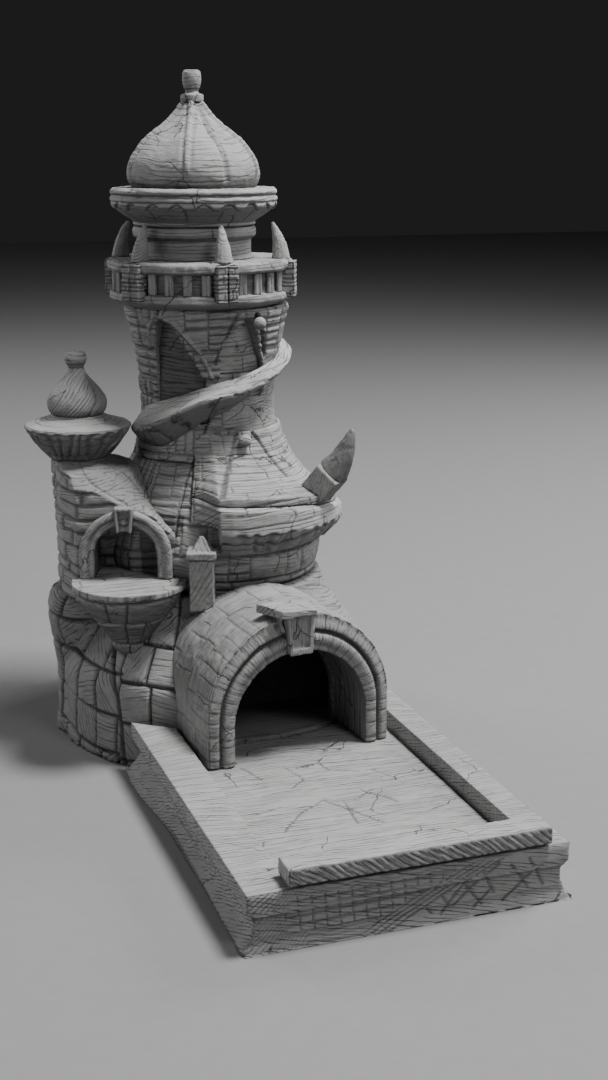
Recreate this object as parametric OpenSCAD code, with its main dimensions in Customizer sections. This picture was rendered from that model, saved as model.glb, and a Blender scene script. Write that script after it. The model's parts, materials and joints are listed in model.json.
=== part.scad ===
// Dice tower shaped like a leaning fantasy castle. Hollow printed sections stack on registers, baffles
// turn the dice inside, a tray slides up to the doorway and a domed lid lifts off for the drop.
// Millimetres, +Z up. The doorway and tray face -Y. The origin is on the table, on the gallery's axis.

/* [Tray] */
// Width over the two side rails
tray_w = 100; // [98:1:102]
// Distance of the tray's front face in front of the origin
tray_front = 185; // [175:1:190]
// Height of the rails
rail_top = 18.2; // [17:0.2:20]
// Height of the plank floor that the dice roll on
floor_top = 12; // [11:0.5:13]
// Width of the left rail
rail_left = 14; // [12:0.5:15]
// Width of the right rail
rail_right = 9.7; // [8:0.1:10]
// Width of the front rail
rail_front = 10; // [8:0.5:12]

/* [Drum] */
// Radius of the drum at the table
drum_r = 60; // [59.5:0.1:60.5]
// Thickness of the printed walls
wall = 5; // [4:0.5:6]

/* [Doorway] */
// Half width of the doorway and radius of its arch
door_r = 25; // [22:0.5:26]
// Half width of the porch and radius of its outer arch
porch_r = 34.5; // [33:0.5:34.5]
// Distance of the porch's face from the drum's axis
porch_face = 78; // [74:1:80]
// Angle that the porch turns away from straight ahead
door_turn = 6; // [4:1:7]

/* [Upper tower] */
// Radius of the dice well inside the shaft
well_r = 20; // [18:0.5:20]
// Height of the gallery's floor slab
gallery_top = 177; // [177:0.5:178]
// Angle between the gallery's front posts, each with a claw
post_step = 60; // [50:1:62]

/* [Lid] */
// Height that the lid is lifted to clear its seat
lid_lift = 60; // [30:5:80]
// Radius of the bore that the lid's spigot drops into
neck_bore_r = 16.6; // [16:0.1:16.8]

/* [Side turret] */
// Distance of the turret's axis to the left of the origin
turret_out = 47.6; // [46:0.1:48]
// Angle that the niche turns to the left of straight ahead
niche_turn = 19.7; // [16:0.1:22]

/* [Fits] */
// Gap between pieces that move apart
gap = 0.3; // [0.2:0.05:0.4]

/* [Hidden] */
$fn = 96;

big = 400;                         // larger than the whole object, for cutting tools
stone = [0.62, 0.62, 0.61];
plank = [0.70, 0.70, 0.68];

tray_x0 = -42;                     // left face of the tray's rails
tray_x1 = tray_x0 + tray_w;
tray_back = 48;                    // the rails end this far in front of the origin
tray_arc = drum_r + 1.4;           // the rear edge curves round the drum
plank_t = 2.5;                     // thickness of the tray's plank panel

drum_c = [2, -5];                  // the drum's axis
shaft_c = [2, 0];                  // the waist and shaft stand a little further back
neck_c = [-2, 0];                  // the neck and lid lean a little to the left
turret_c = [-turret_out, 0];
drum_top = 60;
foot_z = floor_top + gap;          // tower pieces over the tray's floor start here
spigot_r = 34.4;                   // register between the drum and the waist
spigot_z = 55;
arch_spring = 29;                  // centre height of the porch's outer arch
door_spring = 25;                  // centre height of the doorway's arch
ramp_slope = 30;
baffle_slope = 40;
baffle_t = 3;

niche_p = [-37.7, -29];            // middle of the niche's front plane
niche_half = 16.75;                // half width over the niche's mouldings
niche_open = 11.35;                // half width of the niche's mouth
niche_sill = 66;
niche_spring = 74.2;
niche_deep = 15;                   // how far the niche runs into the masonry block
niche_bite = 8;                    // and how far into the waist's wall
ledge_c = [-37.5, -32.5];
ledge_r = 20.6;
ledge_z = 63.8;

skirt_a0 = -11;                   // the planked skirt starts here, measured from the front
skirt_a1 = 172;                    // and runs round the right to here
pocket_r = 21.8;                   // bottom of the window pockets in the shaft's wall
pane_r = 23.6;                     // face of the planks that fill them
slab_r = 33.8;                     // gallery slab
claw_r = 30.3;                     // radius of the middle of a claw's foot
lid_seat = 188.4;                  // top of the neck, where the lid rests

// Points of a cubic curve from a to d, pulled towards b and c
function curve(a, b, c, d, n = 8) = [for (i = [0:n]) let (t = i / n, s = 1 - t)
    s * s * s * a + 3 * s * s * t * b + 3 * s * t * t * c + t * t * t * d];
function backwards(list) = [for (i = [len(list) - 1:-1:0]) list[i]];
function inset(list, t) = [for (p = list) [p[0] - t, p[1]]];
// Height of an edge that climbs round the tower, from pairs of azimuth and height
function climb(pairs, a) = lookup(a, pairs);
// Point at azimuth a (0 at the front, positive to the right), radius r and height z about the shaft
function round_point(a, r, z) = [shaft_c[0] + r * sin(a), shaft_c[1] - r * cos(a), z];

// Outlines as [radius, height]
bell = concat([[drum_r, 0], [drum_r - 1, 18]],
    curve([drum_r - 1, 27], [drum_r - 2, 35], [43, 48], [40.5, drum_top]));
waist = concat([[40, drum_top]], curve([42, 68], [43, 78], [38, 88], [28.2, 105]));
shaft = concat(curve([28.2, 105], [25.5, 115], [24, 122], [25.4, 132], 6),
    curve([25.9, 139], [26.8, 145], [29, 152], [30.4, 160.5], 5));
waist_max = 42.2;                  // a little over the waist's widest radius
// Radius of the wall behind the skirt at height z
wall_pairs = [for (p = concat(waist, shaft)) [p[1], p[0]]];
function wall_at(z) = lookup(z, wall_pairs);

module about(c) translate([c[0], c[1], 0]) children();
module turn(outline) rotate_extrude() polygon(outline);
// The space under a profile, from its axis out
module solid_under(outline) turn(concat([[0, outline[0][1]]], outline, [[0, outline[len(outline) - 1][1]]]));
module peg(r, z0, z1) translate([0, 0, z0]) cylinder(r = r, h = z1 - z0);

// The doorway's own frame: origin on the drum's axis, -Y out through the door
module door_frame() about(drum_c) rotate(door_turn) children();
// Prism with an arch on top, running along Y from y0 to y1
module arch_prism(half, spring, y0, y1, z0) translate([0, y1, 0]) rotate([90, 0, 0])
    linear_extrude(y1 - y0) {
        translate([-half, z0]) square([2 * half, spring - z0]);
        intersection() {
            translate([0, spring]) circle(half);
            translate([-half, spring - 0.01]) square([2 * half, half + 1]);
        }
    }
module niche_frame() translate([niche_p[0], niche_p[1], 0]) rotate(-niche_turn) children();

// ---- Tray -------------------------------------------------------------------------------------------
// Side moulding as [distance out, height]: flared foot, cove, step, upright fascia
moulding = concat([[1.3, 0]], curve([0.8, 1.2], [-1.8, 3], [-2.6, 6], [-1.9, 11.4]), [[0, floor_top],
    [0, rail_top]]);
module tray_block(x0, x1, y0, y1) intersection() {
    translate([0, y1, 0]) rotate([90, 0, 0]) linear_extrude(y1 - y0 + 5)
        polygon(concat([for (p = moulding) [x1 + p[0], p[1]]],
            backwards([for (p = moulding) [x0 - p[0], p[1]]])));
    translate([x0 - 5, 0, 0]) rotate([90, 0, 90]) linear_extrude(x1 - x0 + 10)
        polygon(concat([[y1, 0], [y1, rail_top]], backwards([for (p = moulding) [y0 - p[0], p[1]]])));
}
module tray_well(z0, z1) translate([tray_x0 + rail_left, -tray_front + rail_front, z0])
    cube([tray_w - rail_left - rail_right, tray_front, z1 - z0]);
module tray_frame() color(stone) difference() {
    tray_block(tray_x0, tray_x1, -tray_front, -tray_back);
    tray_well(floor_top - plank_t, rail_top + 1);
    about(drum_c) peg(tray_arc, -1, rail_top + 1);
}
module tray_floor() color(plank) difference() {
    intersection() {
        tray_well(floor_top - plank_t, floor_top);
        translate([tray_x0, -tray_front, 0]) cube([tray_w, tray_front - tray_back, floor_top]);
    }
    about(drum_c) peg(tray_arc, -1, rail_top + 1);
}
// A thick plank raised on a narrower strip, so that a shadow gap shows under it
sill_x0 = -30;
sill_x1 = 51.5;
sill_z0 = 19.2;
sill_z1 = 24.3;
module tray_front_sill() color(plank) {
    translate([sill_x0, -tray_front - 1, sill_z0]) cube([sill_x1 - sill_x0, 10, sill_z1 - sill_z0]);
    translate([sill_x0 + 2, -tray_front + 1.5, rail_top])
        cube([sill_x1 - sill_x0 - 4, 6, sill_z0 - rail_top + 0.5]);
}

// ---- Drum -------------------------------------------------------------------------------------------
lobe = concat([[12, 0], [11.2, 12], [11, 27]], curve([12.2, 35], [14.2, 45], [14.8, 52], [11.3, 56.5], 6));
drum_inside = concat([[drum_r - 1 - wall, foot_z]],
    [for (p = inset(bell, wall)) if (p[1] > foot_z && p[1] < spigot_z - 1.5) p],
    [[spigot_r, spigot_z - 1], [spigot_r, drum_top + 0.01]]);
module drum_space() about(drum_c) solid_under(drum_inside);
module drum_body() {
    about(drum_c) solid_under(bell);
    about(turret_c) solid_under(lobe);
}
module drum_shell() color(stone) difference() {
    drum_body();
    drum_space();
    door_frame() arch_prism(door_r, door_spring, -big, -15, foot_z);
    about(turret_c) peg(4.1, 46, 57);
}
// The porch butts against the drum's outside, and its crown leans in over the drum's top
porch_seat = concat(bell, [[38, 65]]);
module porch_body() difference() {
    door_frame() arch_prism(porch_r, arch_spring, -porch_face, -15, foot_z);
    about(drum_c) solid_under(porch_seat);
}
module key_wedge(y0, y1, grow = 0) translate([0, y1, 0]) rotate([90, 0, 0]) linear_extrude(y1 - y0)
    polygon([[-5.2 - grow, 49.6 - grow], [3.2 + grow, 49.6 - grow], [4 + grow, 65], [-6.4 - grow, 65]]);
module doorway_arch() color(stone) difference() {
    porch_body();
    door_frame() arch_prism(door_r, door_spring, -big, -15, foot_z - 1);
    door_frame() key_wedge(-porch_face - 1, -porch_face + 4);
}
// Keystone with a sunk panel and an egg-shaped boss
module doorway_keystone() color(stone) door_frame() {
    difference() {
        key_wedge(-porch_face - 3, -porch_face + 4);
        translate([0, -porch_face - 1.5, 0]) rotate([90, 0, 0]) linear_extrude(2)
            polygon([[-4, 51.8], [1.8, 51.8], [2.4, 63], [-5.1, 63]]);
    }
    translate([-1.5, -porch_face + 0.4, 57.4]) rotate_extrude($fn = 32)
        polygon(concat(curve([0, -3.4], [2.4, -3], [3.2, 1.4], [0, 3.6], 8), [[0, -3.4]]));
}
// Slab lying back over the arch's crown from the keystone, wider at the back and tipped down to the right
module doorway_lintel() color(plank) door_frame() difference() {
    translate([-9, -porch_face - 4, 63.2]) rotate([0, 4, 0]) linear_extrude(3)
        polygon([[0, 0], [12.9, 0], [15, 14], [-4.4, 11.5]]);
    arch_prism(porch_r, arch_spring, -big, big, foot_z);
    key_wedge(-porch_face - 3, -porch_face + 4);
}
// Slab that slopes from the back wall to the doorway, on two ribs
ramp_toe = -27;
module ramp_slab(z0, z1) door_frame() translate([0, ramp_toe, foot_z]) rotate([ramp_slope, 0, 0])
    translate([-big / 2, -big / 2, z0]) cube([big, big, z1 - z0]);
module exit_ramp() color(plank) intersection() {
    drum_space();
    union() {
        ramp_slab(-4, 0);
        difference() {
            door_frame() for (x = [-22, 18]) translate([x, ramp_toe, 0]) cube([4, 90, drum_top]);
            ramp_slab(-3, big);
        }
    }
}

// ---- Waist ------------------------------------------------------------------------------------------
waist_inside = concat([[spigot_r - wall + 1, drum_top], [34.5, 68]],
    [for (p = inset(waist, wall + 2)) if (p[1] > 72 && p[1] < 101) p], [[well_r, 105.01]]);
module waist_space() {
    about(drum_c) peg(spigot_r - 4, spigot_z - 1, drum_top + 2);
    about(shaft_c) solid_under(waist_inside);
}
module waist_shell() color(stone) difference() {
    union() {
        about(shaft_c) solid_under(waist);
        about(drum_c) peg(spigot_r - 0.1, spigot_z, drum_top + 0.5);
    }
    waist_space();
    niche_frame() arch_prism(niche_open, niche_spring, -1, niche_bite, ledge_z);
}
// A sloping shelf that crosses part of the well: y_wall is its fixed edge, y_tip its free edge
module baffle(y_wall, y_tip, z_wall) {
    side = sign(y_wall - y_tip);
    intersection() {
        translate([0, y_wall, z_wall]) rotate([side * baffle_slope, 0, 0])
            translate([-big / 2, -big / 2, -baffle_t]) cube([big, big, baffle_t]);
        translate([-big / 2, min(y_tip, y_tip + side * big), 0]) cube([big, big, big]);
    }
}
module baffle_lower() color(plank) intersection() {
    waist_space();
    baffle(34, 7, 80);
}
module baffle_middle() color(plank) intersection() {
    waist_space();
    baffle(-30, -3, 100);
}
module baffle_upper() color(plank) intersection() {
    about(shaft_c) peg(well_r, 110, 158);
    baffle(well_r, 5, 152);
}

// ---- Niche between the turret and the waist ---------------------------------------------------------
block_z0 = 56.5;
// Plan of a point in the niche's own frame: x along its front plane, y into the wall
function niche_point(x, y) = [niche_p[0] + x * cos(niche_turn) + y * sin(niche_turn),
    niche_p[1] - x * sin(niche_turn) + y * cos(niche_turn)];
// Outline of the lump of masonry that joins the stem to the waist, seen from above
block_plan = [niche_point(-17.6, 0.02), niche_point(18.2, 0.02), [-18, 6], [-44, 12], [-54.5, 7],
    [-57.2, -2], [-57, -12]];
// Its top falls away from under the turret's eave all round, down to a hood over the niche's arch
flare = [[0, block_z0 - 1], [60, block_z0 - 1], [60, 70], [30, 91.5], [21.5, 102.4], [10.4, 105.9],
    [0, 105.9]];
module block_body() intersection() {
    translate([0, 0, block_z0]) linear_extrude(60) polygon(block_plan);
    union() {
        about(turret_c) turn(flare);
        niche_frame() arch_prism(niche_half + 0.9, niche_spring, -1, 40, block_z0 - 1);
    }
}
module stem_body() about(turret_c) solid_under(stem);
module niche_block() color(stone) difference() {
    block_body();
    drum_body();
    about(shaft_c) solid_under(waist);
    stem_body();
    niche_frame() arch_prism(niche_open, niche_spring, -1, niche_deep, ledge_z);
}
module roll(r, at, y) {
    translate([0, y, niche_spring]) rotate([90, 0, 0]) rotate_extrude(angle = 180) translate([at, 0]) circle(r);
    for (side = [-1, 1]) translate([side * at, y, niche_sill]) cylinder(r = r, h = niche_spring - niche_sill);
}
module moulded_band() difference() {
    union() {
        difference() {
            arch_prism(niche_half, niche_spring, -0.6, 0, niche_sill);
            arch_prism(niche_open, niche_spring, -2, 1, niche_sill - 1);
        }
        roll(1.5, 15.2, -1);
        roll(1.05, 12.45, -1);
    }
    translate([-big / 2, 0, 0]) cube(big);
}
module niche_key(y0, grow = 0) translate([0, 0, 0]) rotate([90, 0, 0]) linear_extrude(-y0)
    polygon([[-2.6 - grow, 83.5 - grow], [2.6 + grow, 83.5 - grow], [3.4 + grow, 92.5], [-3.4 - grow, 92.5]]);
module niche_surround() color(stone) niche_frame() difference() {
    moulded_band();
    niche_key(-8);
}
module niche_keystone() color(stone) niche_frame() {
    difference() {
        niche_key(-4.6);
        translate([0, -2.4, 0]) rotate([90, 0, 0]) linear_extrude(3)
            polygon([[-1.6, 82], [1.6, 82], [2.2, 91.4], [-2.2, 91.4]]);
    }
    translate([0, -2.6, 87.2]) sphere(r = 1.5, $fn = 24);
}
module niche_ledge() color(plank) difference() {
    union() {
        difference() {
            about(ledge_c) peg(ledge_r, ledge_z, niche_sill);
            niche_frame() translate([-big / 2, 0, 0]) cube(big);
        }
        niche_frame() translate([-niche_open, -1, ledge_z])
            cube([2 * niche_open, niche_deep + 1, niche_sill - ledge_z]);
    }
    about(shaft_c) solid_under(waist);
    stem_body();
}
module ledge_corbel() color(stone) difference() {
    about(ledge_c) solid_under(concat([[3, 38]], curve([6, 41], [9, 50], [17, 55], [19.3, ledge_z], 6)));
    drum_body();
    about(shaft_c) solid_under(waist);
    block_body();
    stem_body();
}
// Square post on the wall beside the ledge, under a flared cap with a pyramid on it
post_a = -19.5;
post_w = 8.5;
module corbel_post() color(stone) difference() {
    about(shaft_c) rotate(post_a) translate([0, -40, 0]) {
        translate([-post_w / 2, -11.5, 60]) cube([post_w, 13, 16]);
        translate([-post_w / 2 - 1, -12.5, 75.5]) cube([post_w + 2, 14, 2.6]);
        translate([0, -6.8, 78]) rotate(45) cylinder(r1 = 5, r2 = 0.8, h = 5, $fn = 4);
        // The foot slants back into the wall
        rotate([90, 0, 90]) translate([0, 0, -post_w / 2]) linear_extrude(post_w)
            polygon([[-11.5, 60.5], [1.5, 60.5], [1.5, 52], [-4, 52], [-11.5, 56.5]]);
    }
    about(shaft_c) solid_under(waist);
    drum_body();
    about(ledge_c) peg(ledge_r, ledge_z, niche_sill);
    ledge_corbel();
    porch_body();
}

// ---- Planked skirt roof on the right ----------------------------------------------------------------
// The skirt's left flank swells off the wall, as pairs of azimuth and share of its full depth
flank_a = skirt_a0 - 15;
flank_pairs = [[flank_a, 0.05], [skirt_a0 - 9, 0.28], [skirt_a0 - 4, 0.62], [skirt_a0 - 1, 0.92], [skirt_a0 + 2, 1]];
flank_foot = 84.6;                 // the flank stays above the post's cap
// Heights of the skirt's rim and of its lower edge as it runs round
rim_pairs = [[flank_a, 97], [skirt_a0, 96], [20, 94], [74, 87.5], [120, 86], [skirt_a1, 88]];
hem_pairs = [[flank_a, 89], [skirt_a0 - 1.2, 86], [skirt_a0, 81], [20, 80], [74, 78], [120, 78], [skirt_a1, 79]];
rim_r = 50.5;
skirt_top = 116;
hem_z = 75.2;                      // underside of the band against the wall
foot_pairs = [[flank_a, 86], [skirt_a0 - 1.2, flank_foot], [skirt_a0, hem_z]];
// Points up the wall's face, a hair outside it
function wall_behind(z0, z1, n) = [for (i = [0:n - 1]) let (z = z0 + (z1 - z0) * i / (n - 1))
    [wall_at(z) + 0.15, z]];
// Draws a section in towards the wall where the flank has not reached its full depth
function flanked(a, list) = let (out = climb(flank_pairs, a))
    [for (p = list) [p[0] * out + (wall_at(p[1]) + 1) * (1 - out), p[1]]];
// The roof's section at azimuth a: the wall behind it, then the bell-shaped top down to the rim
function roof_section(a) = let (rim = climb(rim_pairs, a), w = wall_at(skirt_top) + 1.4)
    concat(wall_behind(rim - 3, skirt_top, 7), flanked(a, concat(curve([w, skirt_top], [28.5, 108],
        [36, rim + 6], [rim_r - 2, rim + 0.8], 6), [[rim_r - 2, rim - 2.2]])));
function band_section(a) = let (rim = climb(rim_pairs, a), hem = climb(hem_pairs, a), foot = climb(foot_pairs, a))
    concat(wall_behind(foot, rim - 3.1, 5), flanked(a, [[rim_r - 2.6, rim - 2.3], [rim_r, rim - 3.4],
        [rim_r + 0.3, hem + 3], [rim_r - 1.4, hem], [45.5, foot]]));
// Sweep sections round the shaft's axis. rings is a list of closed sections, all with as many points.
module sweep(rings, azimuths) {
    n = len(rings[0]);
    m = len(rings);
    points = [for (i = [0:m - 1]) for (p = rings[i]) round_point(azimuths[i], p[0], p[1])];
    sides = [for (i = [0:m - 2]) for (j = [0:n - 1])
        each [[i * n + j, (i + 1) * n + j, i * n + (j + 1) % n],
            [(i + 1) * n + j, (i + 1) * n + (j + 1) % n, i * n + (j + 1) % n]]];
    first = [[for (j = [0:n - 1]) j]];
    last = [[for (j = [n - 1:-1:0]) (m - 1) * n + j]];
    polyhedron(points, concat(sides, first, last), convexity = 6);
}
skirt_steps = concat([for (i = [0:9]) flank_a + i * 1.5], [skirt_a0 - 1.2],
    [for (i = [0:40]) skirt_a0 + (skirt_a1 - skirt_a0) * i / 40]);
module skirt_roof() color(plank) sweep([for (a = skirt_steps) roof_section(a)], skirt_steps);
module skirt_band() color(plank) sweep([for (a = skirt_steps) band_section(a)], skirt_steps);
// A tusk in a square socket, leaning out over the skirt's rim
horn_a = 46;
socket_tip = 40;
module at_socket() about(shaft_c) rotate(horn_a) translate([0, -48, 96.5]) rotate([socket_tip, 0, 0]) children();
module horn_socket() color(stone) difference() {
    at_socket() translate([-6, -5, -9]) cube([12, 10, 14.5]);
    skirt_roof();
    skirt_band();
    at_socket() peg(2.5, 1, 6);
}
// Cross-sections of a curved horn: a lens that shrinks as it bends from leaning out to upright
function horn_ring(t, w, d, lean, n = 12) = [for (j = [0:n - 1]) let (a = 360 * j / n, s = pow(1 - t, 0.6))
    [w * s * cos(a), d * s * sin(a) + lean * t * t, 0]];
module blade(h, w, d, lean, steps = 8) {
    rings = [for (i = [0:steps]) [for (p = horn_ring(i / (steps + 0.4), w, d, lean)) p + [0, 0, h * i / steps]]];
    n = len(rings[0]);
    points = [for (r = rings) each r];
    sides = [for (i = [0:steps - 1]) for (j = [0:n - 1])
        each [[i * n + j, (i + 1) * n + j, i * n + (j + 1) % n],
            [(i + 1) * n + j, (i + 1) * n + (j + 1) % n, i * n + (j + 1) % n]]];
    polyhedron(points, concat(sides, [[for (j = [0:n - 1]) j]], [[for (j = [n - 1:-1:0]) steps * n + j]]));
}
module horn() color(plank) at_socket() {
    translate([0, 0, 5.5]) blade(17.6, 4.6, 6, 5);
    peg(2.5, 1, 6);
}

// ---- Shaft ------------------------------------------------------------------------------------------
// Tent-shaped outline of a window: w is half its foot, and the tip stands off the middle by lean
function tent(w, z0, z1, lean) = let (h = z1 - z0)
    [[-w, z0], [w, z0], [w - 1, z0 + 0.4 * h], [lean + 3, z1 - 2.5], [lean, z1], [lean - 3, z1 - 2.5],
    [-w, z0 + 0.7 * h]];
module window_prism(a, w, z0, z1, lean) about(shaft_c) rotate(a) rotate([90, 0, 0]) linear_extrude(40)
    polygon(tent(w, z0, z1, lean));
module left_tent() window_prism(-38, 9.8, 119, 158, -5);
module right_tent() window_prism(16, 9.2, 128, 157.5, -1);
module pane_tube() about(shaft_c) difference() {
    peg(pane_r, 110, 160);
    translate([0, 0, 109]) cylinder(r = pocket_r, h = 52);
}
module window_left() color(plank) intersection() {
    pane_tube();
    left_tent();
}
module window_right() color(plank) intersection() {
    pane_tube();
    right_tent();
}
module shaft_shell() color(stone) about(shaft_c) difference() {
    union() {
        solid_under(shaft);
        peg(24, 160, 163.5);
    }
    translate([0, 0, 100]) cylinder(r = well_r, h = 70);
    translate([-shaft_c[0], -shaft_c[1], 0]) difference() {
        union() {
            left_tent();
            right_tent();
        }
        about(shaft_c) peg(pocket_r, 100, 170);
    }
}
// The planked ledge that winds up round the shaft, as heights of its outer and inner top edges
ledge_out = [[-84, 116.2], [-60, 118], [-20, 129], [5, 132], [27, 136], [43, 139], [70, 142], [150, 152]];
ledge_in = [[-84, 123.8], [-78, 124.5], [-36, 130], [-10, 134], [9, 136], [47, 140.6], [70, 143.5], [150, 153]];
ledge_drop = [[-84, 5], [-70, 7], [-45, 9.5], [-20, 9], [10, 7], [43, 4], [90, 4], [150, 3]];
ledge_reach = [[-84, 30.9], [-79, 31.6], [-70, 33], [-60, 34], [30, 34], [60, 31.8], [120, 31.5], [150, 30.5]];
function spiral_section(a) = let (zo = climb(ledge_out, a), zi = climb(ledge_in, a),
        zb = zo - climb(ledge_drop, a), r = climb(ledge_reach, a), zm = (zb + zi) / 2)
    [[wall_at(zb) + 0.08, zb], [wall_at(zm) + 0.08, zm], [wall_at(zi) + 0.08, zi], [r, zo],
        [r - 0.4, zo - 1.4], [wall_at(zb) + 1.5, zb + 0.7]];
spiral_steps = [for (i = [0:48]) -84 + 234 * i / 48];
module spiral_ledge() color(plank) sweep([for (a = spiral_steps) spiral_section(a)], spiral_steps);
// Round knobs: one on the right window's planks, one on the skirt roof's peak
knob_z = 155.3;
module shutter_knobs() color(stone) about(shaft_c) {
    difference() {
        rotate(22) translate([0, -wall_at(knob_z) - 1.5, knob_z]) sphere(r = 2.3, $fn = 32);
        solid_under(shaft);
    }
    rotate(10) translate([0, -30.4, 113.4]) sphere(r = 2.3, $fn = 32);
}

// ---- Gallery ----------------------------------------------------------------------------------------
rail_z0 = 165.5;                   // foot of the balustrade
rail_z1 = 173;                     // underside of the slab over it
recess_r = 30.6;                   // the wall behind the balusters
gallery_outline = [[29.5, 160.5], [32.6, 162.2], [33.2, 163], [33.2, 165], [32.8, rail_z0], [recess_r, rail_z0],
    [recess_r, rail_z1], [slab_r - 0.6, rail_z1], [slab_r, rail_z1 + 0.8], [slab_r, gallery_top - 1],
    [slab_r - 1, gallery_top]];
module gallery_ring() color(stone) difference() {
    solid_under(gallery_outline);
    about([-1, 0]) translate([0, 0, 150]) cylinder(r = neck_bore_r + 0.6, h = 50);
    about(shaft_c) peg(24.1, 150, 163.6);
    about(neck_c) peg(19.1, gallery_top - 2, gallery_top + 1);
    gallery_posts();
}
post_angles = [-2 * post_step, -post_step, 0, post_step, 150, 360 - 2 * post_step];
pair_gap = 12.5;                   // angle between baluster pairs, at most
module gallery_balusters() color(stone) for (i = [0:4]) let (start = post_angles[i],
    span = post_angles[i + 1] - start, pairs = floor(span / pair_gap)) for (k = [1:pairs], half = [-1, 1])
        rotate(start + span * k / (pairs + 1) + half * 1.6)
            translate([0, -recess_r - 1.0, rail_z0]) cylinder(r = 0.75, h = rail_z1 - rail_z0, $fn = 16);
// Double brick posts that stand proud of the slab
module gallery_posts() color(stone) for (i = [0:4]) rotate(post_angles[i])
    for (x = [-3.9, 0.3]) translate([x, -36 + (x < 0 ? 0 : 0.6), 163.4]) cube([3.6, 5.6, 12.8]);
// Claws that stand on the slab and bend in to a point
module gallery_claws() color(plank) for (i = [0:4]) rotate(post_angles[i])
    translate([0, -claw_r, gallery_top]) blade(12.8, 3.4, 3.4, 3.4);

// ---- Neck and lid -----------------------------------------------------------------------------------
module neck_collar() color(stone) about(neck_c) difference() {
    union() {
        peg(19, gallery_top - 2, gallery_top + 1);
        turn(concat([[0, gallery_top], [22, gallery_top]], curve([22, gallery_top + 0.6], [21.2, 178], [20.6, 178],
            [20.6, 179.5], 4), [[20.6, 184], [22, 184.6], [22.4, 185.4], [22.4, 187.4], [21.8, lid_seat],
            [0, lid_seat]]));
    }
    translate([0, 0, 150]) cylinder(r = neck_bore_r, h = 50);
}
lid_foot = lid_seat + gap;
bowl_top = 197;
module lid_bowl() color(stone) about(neck_c)
    turn(concat([[0, 183], [neck_bore_r - 1.4, 183], [neck_bore_r - 0.4, 184], [neck_bore_r - 0.4, lid_foot],
        [21.8, lid_foot], [22.4, lid_foot + 0.6]], curve([21.9, lid_foot + 1.3], [24, 191.6], [27.6, 193],
        [29.4, 196], 6), [[29.4, bowl_top], [0, bowl_top]]));
rim_top = 202;
dome_r = 22.3;
module lid_rim() color(stone) about(neck_c) rotate_extrude() difference() {
    union() {
        translate([20, bowl_top]) square([9.3, rim_top - bowl_top]);
        translate([29.3, bowl_top + 1.1]) circle(1.1, $fn = 24);
        translate([29.3, rim_top - 1.4]) circle(1.0, $fn = 24);
    }
    translate([0, 0]) square([19, 300]);
}
onion = concat(curve([dome_r, rim_top], [25.6, 205.5], [25.6, 211], [20.4, 216.4], 8),
    curve([18.5, 218.6], [12.5, 223], [6.5, 226.5], [4, 231.6], 6));
module lid_dome() color(plank) about(neck_c) difference() {
    union() {
        solid_under(onion);
        peg(19.8, bowl_top, rim_top + 0.1);
    }
    solid_under(concat([[16.5, bowl_top - 1], [17, rim_top]], [for (p = inset(onion, 4)) if (p[0] > 3) p]));
}
module lid_finial() color(stone) about(neck_c) turn(concat([[0, 231.6], [4, 231.6], [4.1, 232.8], [4.1, 234.2],
    [2.4, 234.8], [2.2, 235.4]], curve([2.9, 236.6], [3.6, 238.5], [3.4, 240.5], [3.2, 242], 5), [[2.4, 242.7],
    [0, 242.7]]));

// ---- Side turret ------------------------------------------------------------------------------------
stem = concat([[8.6, block_z0], [8.2, 60], [8, 66]], curve([8.4, 74], [9.4, 82], [9.8, 90], [10, 97], 4),
    [[10.2, 104], [11, 106]]);
module turret_stem() color(stone) {
    difference() {
        stem_body();
        about(shaft_c) peg(waist_max, drum_top - 4, 84);
    }
    about(turret_c) peg(4, 47, block_z0 + 1);
}
module turret_eave() color(stone) about(turret_c) turn(concat([[0, 106], [11, 106]],
    curve([12, 107], [14, 109], [16.5, 112], [18.6, 115.8], 5), [[19.3, 117.1], [19.1, 117.9]],
    curve([18, 118.5], [14, 119.5], [11, 120.6], [9.3, 121.7], 4), [[0, 121.7]]));
module turret_dome() color(plank) about(turret_c) turn(concat([[0, 121.7], [9.3, 121.7]],
    curve([10.1, 122.6], [12.2, 126.4], [10.1, 129.8], [5.7, 134], 8), curve([4.9, 134.9], [3.8, 136.2],
    [3.1, 137.4], [2.9, 138.6], 3), [[0, 138.6]]));
module turret_finial() color(stone) about(turret_c) turn(concat([[0, 138.6], [2.9, 138.6],
    [2.9, 139.2]], curve([3.3, 139.8], [4.5, 141], [4.4, 144], [2.4, 144.4], 6), [[0, 144.4]]));

tray_frame();
tray_floor();
tray_front_sill();
drum_shell();
doorway_arch();
doorway_keystone();
doorway_lintel();
exit_ramp();
waist_shell();
baffle_lower();
baffle_middle();
baffle_upper();
niche_block();
niche_surround();
niche_keystone();
niche_ledge();
ledge_corbel();
corbel_post();
skirt_roof();
skirt_band();
horn_socket();
horn();
shaft_shell();
spiral_ledge();
window_left();
window_right();
shutter_knobs();
gallery_ring();
gallery_balusters();
gallery_posts();
gallery_claws();
neck_collar();
turret_stem();
turret_eave();
turret_dome();
turret_finial();
lid_bowl();
lid_rim();
lid_dome();
lid_finial();
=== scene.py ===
"""Looks of the dice tower: each CAD piece is remeshed, carved as masonry, planks or timber, and given a
matt grey print finish. Pieces and axes come from the CAD frame.

Carving works in millimetres, and in degrees of azimuth: 0 at the front, positive to the right. p holds a
mesh's points and n their normals, one row each. Masks such as out, smooth or cut run from 0 to 1. Seeds are
any whole numbers, one for each pattern."""
import json
import math

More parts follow.
